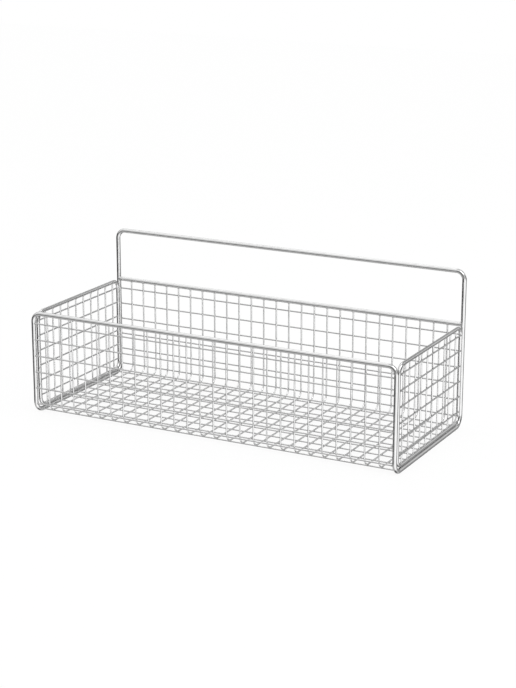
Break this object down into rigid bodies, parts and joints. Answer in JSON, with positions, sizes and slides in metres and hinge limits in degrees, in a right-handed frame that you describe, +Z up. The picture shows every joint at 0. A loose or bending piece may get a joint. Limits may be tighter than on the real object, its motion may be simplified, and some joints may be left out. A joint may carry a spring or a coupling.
{
  "type": "hanging wire basket",
  "caption": "Open-topped chromed wire basket with welded grid walls and a raised rail along its back that hangs on hooks or over a wall rail.",
  "frame": {"origin": "on the ground under the middle of the basket's box", "axes": "+X along the width, +Y towards the hanging rail at the back, +Z up"},
  "size_m": [0.55, 0.228, 0.221],
  "materials": {
    "rod_chrome": "bright chrome plate on steel rod",
    "wire_chrome": "bright chrome plate on drawn steel wire"
  },
  "bodies": {
    "root": {"main_frame_loop": "rod_chrome", "rear_mid_rail": "rod_chrome", "side_frame_left": "rod_chrome", "side_frame_right": "rod_chrome", "side_grid_left": "wire_chrome", "side_grid_right": "wire_chrome", "u_wire_01": "wire_chrome", "u_wire_02": "wire_chrome", "u_wire_03": "wire_chrome", "u_wire_04": "wire_chrome", "u_wire_05": "wire_chrome", "u_wire_06": "wire_chrome", "u_wire_07": "wire_chrome", "u_wire_08": "wire_chrome", "u_wire_09": "wire_chrome", "u_wire_10": "wire_chrome", "u_wire_11": "wire_chrome", "u_wire_12": "wire_chrome", "u_wire_13": "wire_chrome", "u_wire_14": "wire_chrome", "u_wire_15": "wire_chrome", "u_wire_16": "wire_chrome", "u_wire_17": "wire_chrome", "u_wire_18": "wire_chrome", "u_wire_19": "wire_chrome", "u_wire_20": "wire_chrome", "u_wire_21": "wire_chrome", "u_wire_22": "wire_chrome", "u_wire_23": "wire_chrome", "u_wire_24": "wire_chrome", "u_wire_25": "wire_chrome", "u_wire_26": "wire_chrome", "front_wire_01": "wire_chrome", "front_wire_02": "wire_chrome", "front_wire_03": "wire_chrome", "front_wire_04": "wire_chrome", "front_wire_05": "wire_chrome", "front_wire_06": "wire_chrome", "back_wire_01": "wire_chrome", "back_wire_02": "wire_chrome", "back_wire_03": "wire_chrome", "back_wire_04": "wire_chrome", "back_wire_05": "wire_chrome", "back_wire_06": "wire_chrome", "bottom_wire_01": "wire_chrome", "bottom_wire_02": "wire_chrome", "bottom_wire_03": "wire_chrome", "bottom_wire_04": "wire_chrome", "bottom_wire_05": "wire_chrome", "bottom_wire_06": "wire_chrome", "bottom_wire_07": "wire_chrome", "bottom_wire_08": "wire_chrome", "bottom_wire_09": "wire_chrome", "bottom_wire_10": "wire_chrome"}
  },
  "joints": []
}
